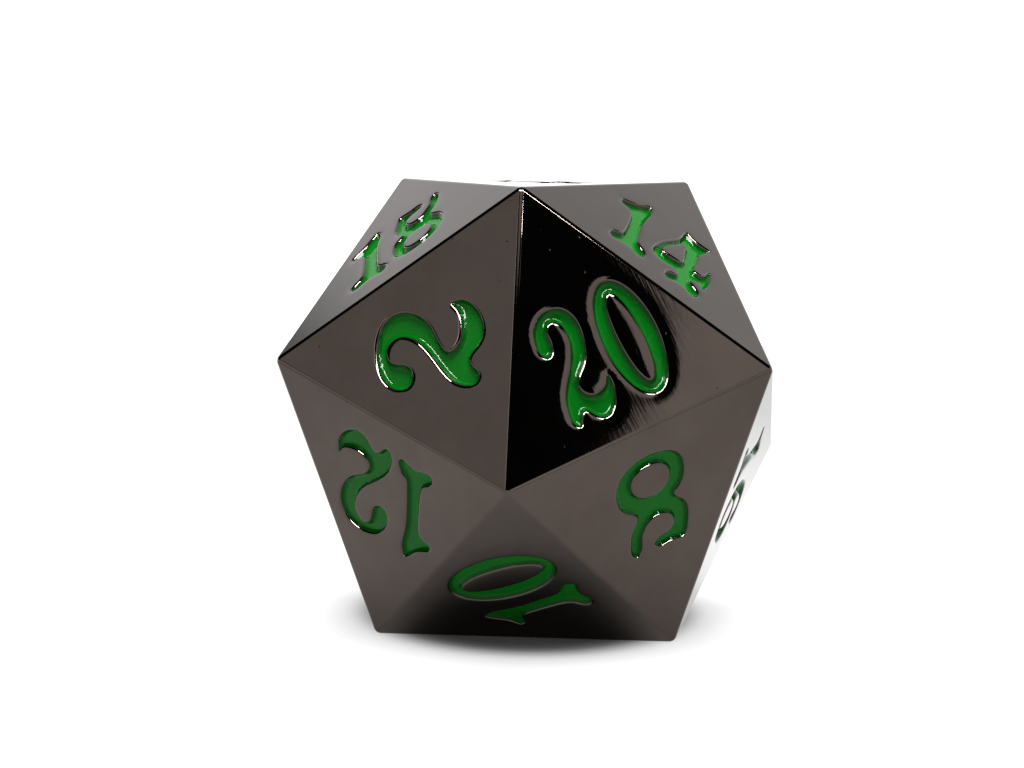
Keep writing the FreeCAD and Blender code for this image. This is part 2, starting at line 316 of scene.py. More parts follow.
def number_loops(number):
    """The outlines of a number, flat, each digit's outside first and then its islands."""
    digits = []
    for digit, (mid_x, lift, wanted) in digit_places(number):
        width, loops = DIGITS[digit]
        placed = []
        for loop in loops:
            if loop[0] == OVAL:
                _, cx, cy, rx, ry = loop
                turns = [2 * pi * k / ROUND_POINTS for k in range(ROUND_POINTS)]
                loop = [(cx + rx * cos(t), cy + ry * sin(t)) for t in turns]
            flat = [(mid_x - wanted / 2 + x * wanted / width, lift + y) for x, y in loop]
            placed.append(spaced_along(spline_loop(flat)))
        digits.append(placed)
    if number in (6, 9):
        turns = np.linspace(0, 2 * pi, ROUND_POINTS, endpoint=False)
        x, y = DOT_X + DOT_RADIUS * np.cos(turns), DOT_Y + DOT_RADIUS * np.sin(turns)
        digits.append([np.stack([x, y], axis=1)])
    return digits


# %% [markdown]
# ## Which way is in, and how much room there is
# The lip and wall of a recess lean inward from the outline. At the tip of a tail there is little
# room, and walls from both sides would run through each other. So for every outline point the
# largest circle that touches it and fits inside the stroke is found. Its radius is the room, and
# a wall never leans in by more than a share of it. The same is done on the metal's side.

# %% Inward directions and room
ROOM_SHARE = 0.72
ROOM_SMOOTHING = 4          # passes that even out the room along an outline
SAME_POINT = 1e-6           # points of a flat drawing nearer than this are one


def starts_of(loops):
    """Where each loop starts, once they are stacked in one array."""
    return np.cumsum([0] + [len(loop) for loop in loops])


def split_at(stacked, starts):
    return [stacked[a:b] for a, b in zip(starts[:-1], starts[1:])]


def inward_normals(loops):
    normals = []
    for k, loop in enumerate(loops):
        tangent = np.roll(loop, -1, 0) - np.roll(loop, 1, 0)
        tangent /= np.linalg.norm(tangent, axis=1)[:, None]
        side = 1 if (signed_area(loop) > 0) == (k == 0) else -1
        normals.append(side * np.stack([-tangent[:, 1], tangent[:, 0]], axis=1))
    return np.vstack(normals)


def room_beside(points, sides, starts):
    """The radius of the largest circle that touches each point from one side."""
    away = points[None] - points[:, None]
    square = np.sum(away ** 2, axis=2)
    lean = np.einsum("ijk,ik->ij", away, sides)
    room = np.where(lean > 1e-6, square / np.maximum(2 * lean, 1e-9), 1e9).min(axis=1)
    parts = split_at(room, starts)
    for _ in range(ROOM_SMOOTHING):
        parts = [np.minimum(part, (np.roll(part, 1) + np.roll(part, -1)) / 4 + part / 2)
                 for part in parts]
    return np.concatenate(parts)


def nearest(points, others):
    """How far each point lies from the nearest of the others."""
    return np.sqrt(((points[:, None] - others[None]) ** 2).sum(axis=2).min(axis=1))


def inside(points, loops):
    """True where a point lies in a stroke: inside an odd number of the loops."""
    odd = np.zeros(len(points), bool)
    px, py = points[:, 0][:, None], points[:, 1][:, None]
    for loop in loops:
        x0, y0 = loop[:, 0][None], loop[:, 1][None]
        x1, y1 = np.roll(loop[:, 0], -1)[None], np.roll(loop[:, 1], -1)[None]
        spans = (y0 > py) != (y1 > py)
        rise = np.where(y1 == y0, 1e-12, y1 - y0)
        hits = spans & (px < (x1 - x0) * (py - y0) / rise + x0)
        odd ^= (hits.sum(axis=1) % 2).astype(bool)
    return odd


def triangulate(outer, loops, extra=()):
    """Splits a flat region into triangles that respect every loop."""
    rings = ([outer] if outer is not None else []) + list(loops)
    points = np.vstack(rings + ([np.asarray(extra)] if len(extra) else []))
    edges = []
    for start, ring in zip(starts_of(rings).tolist(), rings):
        edges += [(start + i, start + (i + 1) % len(ring)) for i in range(len(ring))]
    found = delaunay_2d_cdt([Vector(p) for p in points], edges, [], 0, SAME_POINT)
    flat = np.array([tuple(v) for v in found[0]])
    triangles = np.array([f for f in found[2] if len(f) == 3])
    origin = [source[0] if source else -1 for source in found[3]]
    return flat, triangles, np.array(origin)


all_loops = {number: number_loops(number) for number in sorted(FACES)}
print("outline points:", sum(len(l) for ds in all_loops.values() for d in ds for l in d))

# %% [markdown]
# ## Small helpers for node trees
# Every tree below is built the same way: a node is made, its settings are set, and its inputs
# are either given a value or wired to another node. The first helper does the three in one line.
# The others hold what both Geometry Nodes trees need.

# %% Node helpers
def add(tree, kind, inputs=None, **settings):
    made = tree.nodes.new(kind)
    for key, value in settings.items():
        setattr(made, key, value)
    for key, value in (inputs or {}).items():
        if isinstance(value, bpy.types.NodeSocket):
            tree.links.new(value, made.inputs[key])
        else:
            made.inputs[key].default_value = value
    return made


def new_geometry_tree(title, wanted):
    """A tree that takes and gives geometry, with named inputs for its sizes."""
    tree = bpy.data.node_groups.new(title, "GeometryNodeTree")
    face = tree.interface
    face.new_socket("Geometry", in_out="INPUT", socket_type="NodeSocketGeometry")
    for name, kind in wanted:
        face.new_socket(name, in_out="INPUT", socket_type="NodeSocket" + kind)
    face.new_socket("Geometry", in_out="OUTPUT", socket_type="NodeSocketGeometry")
    return tree, tree.nodes.new("NodeGroupInput"), tree.nodes.new("NodeGroupOutput")


def number_of(tree, operation, *values):
    return add(tree, "ShaderNodeMath", dict(enumerate(values)), operation=operation).outputs[0]


def vector_of(tree, operation, *values):
    made = add(tree, "ShaderNodeVectorMath", dict(enumerate(values)), operation=operation)
    return made.outputs[0]


def scaled(tree, vector, amount):
    made = add(tree, "ShaderNodeVectorMath", {0: vector, "Scale": amount}, operation="SCALE")
    return made.outputs[0]


def open_edges_of(tree):
    """True on the edges of a sheet that have a face on one side only."""
    neighbours = add(tree, "GeometryNodeInputMeshEdgeNeighbors").outputs[0]
    return add(tree, "FunctionNodeCompare", {2: neighbours, 3: 1}, data_type="INT",
               operation="EQUAL").outputs[0]


def distance_from(tree, mesh, edges):
    """How far each point lies from the chosen edges of a mesh."""
    line = add(tree, "GeometryNodeMeshToCurve", {0: mesh, 1: edges}).outputs[0]
    line = add(tree, "GeometryNodeCurveToMesh", {0: line}).outputs[0]
    near = add(tree, "GeometryNodeProximity", {0: line}, target_element="EDGES")
    return near.outputs["Distance"]


def finish_tree(tree, mesh, size, result):
    """Welds what meets, makes it one real mesh, and gives it its material."""
    welded = add(tree, "GeometryNodeMergeByDistance", {"Geometry": mesh, "Distance": size["Weld"]})
    real = add(tree, "GeometryNodeRealizeInstances", {"Geometry": welded.outputs[0]})
    finished = add(tree, "GeometryNodeSetMaterial",
                   {"Geometry": real.outputs[0], "Material": size["Finish"]})
    tree.links.new(finished.outputs[0], result.inputs["Geometry"])


def run_tree(obj, tree, values):
    """Runs a tree on an object and keeps the result as a plain mesh."""
    modifier = obj.modifiers.new(tree.name, "NODES")
    modifier.node_group = tree
    sockets = {s.name: s.identifier for s in tree.interface.items_tree if s.in_out == "INPUT"}
    for name, value in values.items():
        modifier[sockets[name]] = value
    depsgraph = bpy.context.evaluated_depsgraph_get()
    plain = bpy.data.meshes.new_from_object(obj.evaluated_get(depsgraph), depsgraph=depsgraph)
    obj.modifiers.remove(modifier)
    drawn = obj.data
    obj.data = plain
    bpy.data.meshes.remove(drawn)
    plain.name = obj.name


def new_object(name, points, faces, point_values=None):
    """An object at the origin, from points in millimetres."""
    mesh = bpy.data.meshes.new(name)
    mesh.from_pydata((np.asarray(points) * MM).tolist(), [], [list(map(int, f)) for f in faces])
    for key, (kind, values) in (point_values or {}).items():
        layer = mesh.attributes.new(key, kind, "POINT")
        field = "vector" if kind == "FLOAT_VECTOR" else "value"
        layer.data.foreach_set(field, np.asarray(values).ravel())
    obj = bpy.data.objects.new(name, mesh)
    scene.collection.objects.link(obj)
    return obj


# %% [markdown]
# ## The blank
# Before its numbers are cut the die is an icosahedron with slightly rounded edges, as tumbling
# and polishing leave it. A bevel does that well, even at the corners where five edges meet. On
# edges of this angle a round of radius r starts r / GOLD**2 from the sharp edge, so the width
# handed to the bevel comes from the radius.

# %% Rounded edges around twenty flats
EDGE_ROUND = 0.30
EDGE_STEPS = 6


def rounded_blank():
    bm = bmesh.new()
    vert = {name: bm.verts.new(place + MIDDLE) for name, place in CORNER.items()}
    for number, corners in FACES.items():
        ring = [vert[c] for c in corners]
        a, b, c = (CORNER[k] for k in corners)
        if np.dot(np.cross(b - a, c - a), a + b + c) < 0:
            ring.reverse()
        bm.faces.new(ring)
    bmesh.ops.bevel(bm, geom=bm.edges[:], offset=EDGE_ROUND / GOLD ** 2, offset_type="OFFSET",
                    segments=EDGE_STEPS, profile=0.5, affect="EDGES", clamp_overlap=False)
    return bm


blank = rounded_blank()
flat_corners = {}
for face in [f for f in blank.faces if f.calc_area() > EDGE ** 2 / 4]:
    out = np.array(face.normal)
    number = max(FACES, key=lambda n: FRAME_OF[n].out @ out)
    flat_corners[number] = np.array([v.co for v in face.verts])
    blank.faces.remove(face)
blank_points = np.array([v.co for v in blank.verts])
blank.verts.index_update()
blank_faces = [[v.index for v in f.verts] for f in blank.faces]
blank.free()
print("flats", len(flat_corners), "rounding faces", len(blank_faces))

# %% [markdown]
# ## The flats, with the numbers cut through, and the recess floors
# Each flat is a triangle with the number's outlines as holes. A constrained triangulation keeps
# every outline point, and the triangles that fall inside a stroke are left out. The floor of
# each recess is the same outline drawn in by the lean of the whole wall.
#
# Buffing wears the metal away beside a hole, so the flat rolls off there by a few hundredths of
# a millimetre before the lip proper begins. That is what draws a pale band beside each digit.
# It needs points in the metal too, so rows of them follow every outline at growing distances.

# %% Sizes of a recess, in millimetres
RECESS_DEPTH = 0.50
ROLL_DROP, ROLL_REACH = 0.0098, 0.14
LIP_OUTSIDE = 0.035
LIP_RADIUS = 0.10
LIP_START, LIP_END = atan(ROLL_DROP / ROLL_REACH), radians(80)
LIP_STEPS = 7
LIP_DEPTH = ROLL_DROP + LIP_RADIUS * (cos(LIP_START) - cos(LIP_END))
LIP_LEAN = LIP_RADIUS * (sin(LIP_END) - sin(LIP_START))
WALL_LEAN = LIP_LEAN + (RECESS_DEPTH - LIP_DEPTH) / tan(LIP_END)
ROWS_OUT = (0.03, 0.065, 0.105, 0.15, 0.20, 0.27, 0.36, 0.48, 0.63)
ROWS_KEPT_FULL = 5
ROW_CLEAR = 0.93            # a row's point is dropped if another rim is nearer than this share
ROW_GAP, ROW_GAP_SHARE = 0.02, 0.8


def roll_off_points(rim, outward, corners):
    """Rows of points beside the rims, in the metal, thinned where they are far away."""
    chosen = rim
    for k, away in enumerate(ROWS_OUT):
        row = rim + outward * away
        row = row[(nearest(row, rim) > ROW_CLEAR * away) & inside(row, [corners])]
        gap = ROW_GAP if k < ROWS_KEPT_FULL else ROW_GAP_SHARE * (away - ROWS_OUT[k - 1])
        kept = []
        for point in row[nearest(row, chosen) > gap] if len(row) else []:
            if not kept or nearest(point[None], np.array(kept))[0] > gap:
                kept.append(point)
        if kept:
            chosen = np.vstack([chosen, kept])
    return chosen[len(rim):]


# %% Flats, recess floors and rounding, gathered in one flat pattern
points, faces, inward, outward, rim_marks = [], [], [], [], []


def collect(new_points, new_faces, lean=None, out=(0, 0, 0), is_rim=False):
    start = sum(len(p) for p in points)
    points.append(new_points)
    faces.extend([[start + i for i in f] for f in new_faces])
    inward.append(np.zeros_like(new_points) if lean is None else lean)
    outward.append(np.tile(out, (len(new_points), 1)))
    rim_marks.append(np.broadcast_to(is_rim, len(new_points)))


collect(blank_points, blank_faces)
outlines = {}
for number, digits in all_loops.items():
    laid = FRAME_OF[number]
    corners = laid.flatten(flat_corners[number])
    if signed_area(corners) < 0:
        corners = corners[::-1]
    loops = [loop for digit in digits for loop in digit]
    edge, starts = np.vstack(loops), starts_of(loops)
    normal = np.vstack([inward_normals(digit) for digit in digits])
    back = np.minimum(LIP_OUTSIDE, ROOM_SHARE / 2 * room_beside(edge, -normal, starts))
    rim = edge - normal * back[:, None]
    rims = split_at(rim, starts)

    outlines[number] = []
    share, start = np.empty(len(edge)), 0
    for digit in digits:
        part = slice(start, start + sum(map(len, digit)))
        start = part.stop
        own_starts = starts_of(digit)
        room = room_beside(edge[part], normal[part], own_starts)
        within = WALL_LEAN - LIP_OUTSIDE
        share[part] = (back[part] + np.minimum(within, ROOM_SHARE * room)) / WALL_LEAN
        drawn_in = rim[part] + normal[part] * (share[part] * WALL_LEAN)[:, None]
        floor_loops = split_at(drawn_in, own_starts)
        floor, floor_faces, _ = triangulate(None, floor_loops)
        floor_faces = floor_faces[inside(floor[floor_faces].mean(axis=1), floor_loops)]
        collect(laid.place(floor, -RECESS_DEPTH), floor_faces)
        outlines[number].append(
            (rim[part], normal[part], share[part], room + back[part], own_starts))

    beside = roll_off_points(rim, -normal, corners)
    beside = beside[~inside(beside, rims)]
    flat, triangles, origin = triangulate(corners, rims, beside)
    keep = ~inside(flat[triangles].mean(axis=1), rims)
    lean = np.vstack([np.zeros_like(corners), normal * share[:, None], np.zeros_like(beside)])
    sheet_lean = np.where(origin[:, None] >= 0, lean[np.maximum(origin, 0)], 0)
    collect(laid.place(flat), triangles[keep], laid.direction(sheet_lean), laid.out,
            np.linalg.norm(sheet_lean, axis=1) > 0)
points, inward = np.vstack(points), np.vstack(inward)
outward, rim_marks = np.vstack(outward), np.concatenate(rim_marks)
print("flat pattern: %d points, %d faces, %d on a rim" % (
    len(points), len(faces), rim_marks.sum()))

# %% [markdown]
# ## The walls, by Geometry Nodes
# The roll-off, lip and wall follow every outline in the same way, so a tree makes them. First it
# lowers the metal by its distance from the nearest hole. Then it takes the edges of the holes
# and pulls them down in steps: a repeat zone turns through the lip's round, and one last pull
# draws the slightly leaning wall to the floor. Each new row is moved by its own inward
# direction, which the flat pattern carries as an attribute. A merge at the end welds flats,
# rounding, walls and floors into one closed skin.

# %% The tree that sinks the numbers
def sink_tree():
    tree, given, result = new_geometry_tree("Sink the numbers", [
        ("Roll-off drop", "Float"), ("Roll-off reach", "Float"), ("Lip radius", "Float"),
        ("Lip start", "Float"), ("Lip end", "Float"), ("Lip steps", "Int"),
        ("Recess depth", "Float"), ("Weld", "Float"), ("Finish", "Material")])
    size = given.outputs

    def attribute(name, kind):
        return add(tree, "GeometryNodeInputNamedAttribute", {"Name": name},
                   data_type=kind).outputs[0]

    lean, out = attribute("inward", "FLOAT_VECTOR"), attribute("outward", "FLOAT_VECTOR")
    hole = add(tree, "FunctionNodeBooleanMath",
               {0: attribute("rim", "BOOLEAN"), 1: open_edges_of(tree)},
               operation="AND").outputs[0]

    away = distance_from(tree, size["Geometry"], hole)
    fade = number_of(tree, "EXPONENT", number_of(
        tree, "DIVIDE", away, number_of(tree, "MULTIPLY", size["Roll-off reach"], -1.0)))
    sunk = scaled(tree, out, number_of(tree, "MULTIPLY", fade, number_of(
        tree, "MULTIPLY", size["Roll-off drop"], -1.0)))
    worn = add(tree, "GeometryNodeSetPosition",
               {"Geometry": size["Geometry"], "Offset": sunk}).outputs[0]

    def pull(mesh, selection, move):
        """One new row of faces along the selected edges, moved without smoothing."""
        grown = add(tree, "GeometryNodeExtrudeMesh",
                    {"Mesh": mesh, "Selection": selection, "Offset Scale": 0.0}, mode="EDGES")
        moved = add(tree, "GeometryNodeSetPosition",
                    {"Geometry": grown.outputs["Mesh"], "Selection": grown.outputs["Top"],
                     "Offset": move})
        return moved.outputs[0], grown.outputs["Top"]

    into = tree.nodes.new("GeometryNodeRepeatInput")
    over = tree.nodes.new("GeometryNodeRepeatOutput")
    into.pair_with_output(over)
    over.repeat_items.new("BOOLEAN", "Row")
    tree.links.new(size["Lip steps"], into.inputs["Iterations"])
    tree.links.new(worn, into.inputs["Geometry"])
    tree.links.new(hole, into.inputs["Row"])

    def angle_at(step):
        part = number_of(tree, "DIVIDE", step, size["Lip steps"])
        sweep = number_of(tree, "SUBTRACT", size["Lip end"], size["Lip start"])
        return number_of(tree, "MULTIPLY_ADD", part, sweep, size["Lip start"])

    step = into.outputs["Iteration"]
    now, then = angle_at(step), angle_at(number_of(tree, "ADD", step, 1.0))
    across, down = (number_of(tree, "SUBTRACT", number_of(tree, wave, then),
                              number_of(tree, wave, now)) for wave in ("SINE", "COSINE"))
    move = vector_of(tree, "ADD", scaled(tree, lean, across), scaled(tree, out, down))
    move = scaled(tree, move, size["Lip radius"])
    mesh, row = pull(into.outputs["Geometry"], into.outputs["Row"], move)
    tree.links.new(mesh, over.inputs["Geometry"])
    tree.links.new(row, over.inputs["Row"])

    turned = number_of(tree, "SUBTRACT", number_of(tree, "COSINE", size["Lip start"]),
                       number_of(tree, "COSINE", size["Lip end"]))
    lip_depth = number_of(tree, "MULTIPLY_ADD", size["Lip radius"], turned, size["Roll-off drop"])
    left = number_of(tree, "SUBTRACT", size["Recess depth"], lip_depth)
    lean_left = number_of(tree, "DIVIDE", left, number_of(tree, "TANGENT", size["Lip end"]))
    last = vector_of(tree, "SUBTRACT", scaled(tree, lean, lean_left), scaled(tree, out, left))
    walls, _ = pull(over.outputs["Geometry"], over.outputs["Row"], last)
    finish_tree(tree, walls, size, result)
    return tree


# %% The plated body
BODY_WELD = 0.002
nickel = bpy.data.materials.new("black_nickel_plate")
body = new_object("plated_body", points, faces, {
    "inward": ("FLOAT_VECTOR", inward), "outward": ("FLOAT_VECTOR", outward),
    "rim": ("BOOLEAN", rim_marks)})
run_tree(body, sink_tree(), {
    "Roll-off drop": ROLL_DROP * MM, "Roll-off reach": ROLL_REACH * MM,
    "Lip radius": LIP_RADIUS * MM, "Lip start": LIP_START, "Lip end": LIP_END,
    "Lip steps": LIP_STEPS, "Recess depth": RECESS_DEPTH * MM, "Weld": BODY_WELD * MM,
    "Finish": nickel})


def open_edges(mesh):
    bm = bmesh.new()
    bm.from_mesh(mesh)
    count = sum(not e.is_manifold for e in bm.edges)
    volume = bm.calc_volume(signed=True)
    bm.free()
    return count, volume / MM ** 3


print("body: %d faces, open edges %d, volume %.1f mm3" % (
    (len(body.data.polygons),) + open_edges(body.data)))

# %% [markdown]
# ## The enamel
# Enamel is dripped into each recess and cured. It shrinks, and it clings to the wall right up to
# the lip, so each stroke becomes a dish: sloping banks, a tight turn, and a level bottom. The
# turn is what catches the thin bright lines inside the strokes. Each pool is a sheet of small
# triangles whose height follows one rule: the lesser of the bank's slope and the full sink,
# joined smoothly. A tree measures the distance from the shore, lowers the sheet, and closes it
# underneath to a solid piece.

# %% The flat sheet of one pool
POOL_DEPTH = 0.022
POOL_ANGLE = acos(cos(LIP_START) - (POOL_DEPTH - ROLL_DROP) / LIP_RADIUS)
SHORE_TUCK = 0.004          # how far the shore reaches into the metal, so that no slit shows
POOL_LEAN = LIP_RADIUS * (sin(POOL_ANGLE) - sin(LIP_START)) - SHORE_TUCK
ROWS_IN = (0.03, 0.07, 0.105, 0.14, 0.17, 0.20, 0.235, 0.27)
ROW_ROOM = 0.90             # the share of the room that a row may use
POOL_GAP = 0.016
GRID, GRID_CLEAR = 0.105, 0.55


def pool_sheet(rim, normal, share, room, starts):
    wall = rim + normal * (share * POOL_LEAN)[:, None]
    loops = split_at(wall, starts)
    chosen = [wall]
    for more in ROWS_IN:
        deep = share * POOL_LEAN + more
        fits = deep < ROW_ROOM * room
        row = rim[fits] + normal[fits] * deep[fits][:, None]
        if len(row):
            chosen.append(row[nearest(row, np.vstack(chosen)) > POOL_GAP])
    lo, hi = rim.min(axis=0), rim.max(axis=0)
    xs, ys = np.arange(lo[0], hi[0], GRID), np.arange(lo[1], hi[1], GRID * sqrt(3) / 2)
    grid = np.array([(x + (j % 2) * GRID / 2, y) for j, y in enumerate(ys) for x in xs])
    grid = grid[inside(grid, loops)]
    grid = grid[nearest(grid, np.vstack(chosen)) > GRID_CLEAR * GRID]
    flat, triangles, _ = triangulate(None, loops, np.vstack(chosen[1:] + [grid]))
    return flat, triangles[inside(flat[triangles].mean(axis=1), loops)]


# %% The tree that makes a pool of it
def pool_tree():
    tree, given, result = new_geometry_tree("Enamel pool", [
        ("Up", "Vector"), ("Sink", "Float"), ("Bank", "Float"), ("Turn", "Float"),
        ("Ripple", "Float"), ("Ripple size", "Float"), ("Thickness", "Float"), ("Weld", "Float"),
        ("Finish", "Material")])
    size = given.outputs
    away = distance_from(tree, size["Geometry"], open_edges_of(tree))
    noise = add(tree, "ShaderNodeTexNoise", {"Scale": size["Ripple size"], "Detail": 1.0})
    ripple = number_of(tree, "MULTIPLY", number_of(
        tree, "SUBTRACT", noise.outputs[0], 0.5), size["Ripple"])
    bottom = number_of(tree, "ADD", size["Sink"], ripple)
    drop = number_of(tree, "SMOOTH_MIN", number_of(tree, "MULTIPLY", away, size["Bank"]),
                     bottom, size["Turn"])

    below = scaled(tree, size["Up"], number_of(tree, "MULTIPLY", size["Thickness"], -1.0))
    # The share of the full sink at each point; the finish paints the green darker where it is
    # small, partly as plate under thin enamel and partly as painted shade on the banks.
    marked = add(tree, "GeometryNodeStoreNamedAttribute", {
        "Geometry": size["Geometry"], "Name": "fill",
        "Value": number_of(tree, "DIVIDE", drop, size["Sink"])}, data_type="FLOAT", domain="POINT")
    base = add(tree, "GeometryNodeSetPosition", {"Geometry": marked.outputs[0], "Offset": below})
    grown = add(tree, "GeometryNodeExtrudeMesh",
                {"Mesh": base.outputs[0], "Offset": size["Up"],
                 "Offset Scale": size["Thickness"], "Individual": False}, mode="FACES")
    top = add(tree, "GeometryNodeSetPosition",
              {"Geometry": grown.outputs["Mesh"], "Selection": grown.outputs["Top"],
               "Offset": scaled(tree, size["Up"], number_of(tree, "MULTIPLY", drop, -1.0))})
    under = add(tree, "GeometryNodeFlipFaces", {"Mesh": base.outputs[0]})
    joined = tree.nodes.new("GeometryNodeJoinGeometry")
    tree.links.new(under.outputs[0], joined.inputs[0])
    tree.links.new(top.outputs[0], joined.inputs[0])
    finish_tree(tree, joined.outputs[0], size, result)
    return tree


# %% One piece of enamel for each number
SINK, BANK, TURN = 0.20, 1.10, 0.075
RIPPLE, RIPPLE_SIZE = 0.020, 700.0
FILL_SHARE = 0.9            # how much of the recess's depth under the shore the solid takes up
POOL_WELD = 0.001
green = bpy.data.materials.new("green_enamel")
make_pool = pool_tree()
enamel = {}
for number, digits in outlines.items():
    laid = FRAME_OF[number]
    sheet_points, sheet_faces, start = [], [], 0
    for digit in digits:
        flat, triangles = pool_sheet(*digit)
        sheet_points.append(laid.place(flat, -POOL_DEPTH))
        sheet_faces += (triangles + start).tolist()
        start += len(flat)
    piece = new_object("enamel_%d" % number, np.vstack(sheet_points), sheet_faces)
    run_tree(piece, make_pool, {
        "Up": tuple(laid.out), "Sink": SINK * MM, "Bank": BANK, "Turn": TURN * MM,
        "Ripple": RIPPLE * MM, "Ripple size": RIPPLE_SIZE,
        "Thickness": (RECESS_DEPTH - POOL_DEPTH) * FILL_SHARE * MM,
        "Weld": POOL_WELD * MM, "Finish": green})
    enamel[number] = piece
print("enamel faces:", sum(len(p.data.polygons) for p in enamel.values()),
      "open edges:", sum(open_edges(p.data)[0] for p in enamel.values()),
      "volume of the 20: %.2f mm3" % open_edges(enamel[20].data)[1])

# %% [markdown]
# ## Smooth and flat shading
# The flats are true mirrors, so they are shaded flat. If they were smoothed along with the lips,
# each flat would borrow its neighbours' tilt and its reflections would bend. The rounding, the
# lips and the tops of the enamel are smooth. The rounding of an edge is one long strip, and the
# ends of a strip would borrow tilt from the balls at the corners, so its normals are set exactly.

# %% Shading, and the lay of each face for the finish
NUMBERS = sorted(FACES)
OUTS = np.array([FRAME_OF[n].out for n in NUMBERS])
TRULY_FLAT = 0.999998       # a face this level with its flat is part of it
ENAMEL_TOP = 0.35           # an enamel face this level is on top; the rest is its hidden side
MAP_SPACING = 20.0          # keeps the faces' maps apart


def read_all(items, field, width=0, kind=float):
    """One field of every vertex, corner or face, as an array."""
    values = np.empty(len(items) * max(width, 1), kind)
    items.foreach_get(field, values)
    return values.reshape(-1, width) if width else values


def owner_of_faces(mesh):
    """For each face of a mesh, the place in NUMBERS of the die's face that it belongs to."""
    middles = read_all(mesh.polygons, "center", 3) / MM - MIDDLE
    return (middles @ OUTS.T).argmax(axis=1)


def shade(mesh, flat_tops):
    normals = read_all(mesh.polygons, "normal", 3)
    level = np.einsum("ij,ij->i", normals, OUTS[owner_of_faces(mesh)])
    smooth = level < TRULY_FLAT if flat_tops else level > ENAMEL_TOP
    mesh.polygons.foreach_set("use_smooth", smooth)
    mesh.update()


def lay_map(mesh):
    """A UV map in millimetres along each face, y toward the number's top, for the polish lines."""
    owner = np.repeat(owner_of_faces(mesh), read_all(mesh.polygons, "loop_total", kind=int))
    vertex = read_all(mesh.loops, "vertex_index", kind=int)
    place = read_all(mesh.vertices, "co", 3)[vertex] / MM - MIDDLE
    u, v = (np.einsum("ij,ij->i", place, np.array([way(FRAME_OF[n]) for n in NUMBERS])[owner])
            for way in (lambda face: face.x, lambda face: face.y))
    layer = mesh.uv_layers.new(name="lay")
    layer.data.foreach_set("uv", np.stack([u + MAP_SPACING * owner, v], axis=1).ravel())


def true_rounding(mesh):
    """On the rounding, makes the normals point straight away from the edge's inner line."""
    place = read_all(mesh.vertices, "co", 3) / MM - MIDDLE
    inner = np.array(list(CORNER.values())) * (1 - 2 * EDGE_ROUND / FACE_TO_FACE)
    away = place - inner[((place[:, None] - inner[None]) ** 2).sum(axis=2).argmin(axis=1)]
    length = np.linalg.norm(away, axis=1)
    on_ball = np.abs(length - EDGE_ROUND) < 0.1 * EDGE_ROUND
    vertex = read_all(mesh.loops, "vertex_index", kind=int)
    first = read_all(mesh.polygons, "loop_start", kind=int)
    rounding = np.logical_and.reduceat(on_ball[vertex], first)
    rounding &= read_all(mesh.polygons, "use_smooth", kind=bool)
    corners = np.repeat(rounding, read_all(mesh.polygons, "loop_total", kind=int))
    normals = np.zeros((len(vertex), 3))
    normals[corners] = (away / length[:, None])[vertex[corners]]
    mesh.normals_split_custom_set(normals.tolist())
    return int(rounding.sum())


shade(body.data, True)
print("rounding faces with true normals:", true_rounding(body.data))
lay_map(body.data)
for piece in enamel.values():
    shade(piece.data, False)
print("smooth faces on the body:", sum(p.use_smooth for p in body.data.polygons))

# %% [markdown]
# ## Black nickel
# Black nickel is a thin plating, dark because it reflects only about a tenth of the light, a
# little warmer than grey. Its polish is nearly a mirror, and what it shows most are small
# faults: fine lines left by the buffing wheel, a slight swell of the flats, a few pits in the
# casting under the plate. A metal shader with a dark base gives the first, and small bumps the
# rest. The buffing lines run along the number's height, so they follow the lay map.

# %% The plating
PLATE_DARK = (0.058, 0.046, 0.039, 1.0)
PLATE_COLOUR = (0.063, 0.0505, 0.044, 1.0)
PLATE_PALE = (0.068, 0.055, 0.047, 1.0)
SWELL, BROAD_LINES, FINE_LINES, PITS = 1.6e-6, 3.0e-7, 5.5e-7, 1.2e-6


def ramp(tree, factor, stops):
    made = add(tree, "ShaderNodeValToRGB", {"Fac": factor})
    elements = made.color_ramp.elements
    while len(elements) < len(stops):
        elements.new(0.5)
    for element, (position, colour) in zip(elements, stops):
        element.position = position
        element.color = colour
    return made.outputs["Color"]


def grey(value):
    return (value, value, value, 1.0)


def noise(tree, place, scale, detail, roughness=0.5):
    return add(tree, "ShaderNodeTexNoise", {
        "Vector": place, "Scale": scale, "Detail": detail, "Roughness": roughness}).outputs[0]


def near_points(tree, place, scale):
    """The distance from the nearest of many scattered points."""
    cells = add(tree, "ShaderNodeTexVoronoi", {"Vector": place, "Scale": scale}, feature="F1")
    return cells.outputs["Distance"]


def bumps(tree, reliefs):
    """One bump over another, each a height field and how far it stands out, in metres."""
    normal = {}
    for height, distance in reliefs:
        made = add(tree, "ShaderNodeBump",
                   {"Height": height, "Distance": distance, "Strength": 1.0, **normal})
        normal = {"Normal": made.outputs[0]}
    return normal["Normal"]


